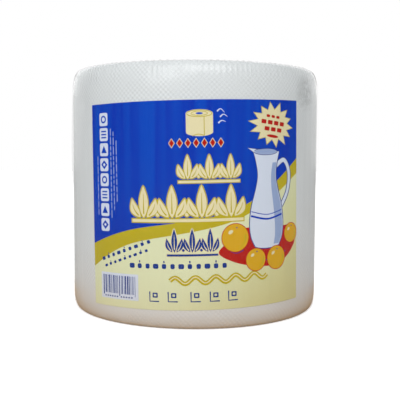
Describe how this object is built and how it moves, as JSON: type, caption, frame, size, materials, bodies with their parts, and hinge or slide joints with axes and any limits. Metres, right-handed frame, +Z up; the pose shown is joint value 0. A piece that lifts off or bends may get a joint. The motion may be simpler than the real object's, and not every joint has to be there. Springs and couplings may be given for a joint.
{
  "type": "paper towel roll",
  "caption": "Large kitchen paper roll on a cardboard core, with a printed sheet under clear shrink film that is open round the core at both ends.",
  "frame": {"origin": "on the core's axis, on the flat end that the roll stands on", "axes": "+Z up along the core, -Y towards the middle of the printed sheet, +Y through the film's lap at the back"},
  "size_m": [0.212, 0.212, 0.2022],
  "materials": {
    "core_cardboard": "spiral-wound grey-brown board, matt",
    "towel_paper": "soft white embossed tissue",
    "sheet_cream": "pale cream coated paper",
    "print_blue": "printed, half gloss",
    "print_gold": "printed, half gloss",
    "print_white": "printed, half gloss",
    "print_cream": "printed, half gloss",
    "print_red": "printed, half gloss",
    "print_orange": "printed, half gloss",
    "print_navy": "printed, half gloss",
    "clear_film": "clear glossy shrink film"
  },
  "bodies": {
    "root": {"core_tube": "core_cardboard", "paper_roll": "towel_paper", "label_sheet": "sheet_cream", "ink_blue": "print_blue", "ink_gold": "print_gold", "ink_white": "print_white", "ink_cream": "print_cream", "ink_red": "print_red", "ink_orange": "print_orange", "ink_navy": "print_navy", "wrap_film": "clear_film"}
  },
  "joints": []
}
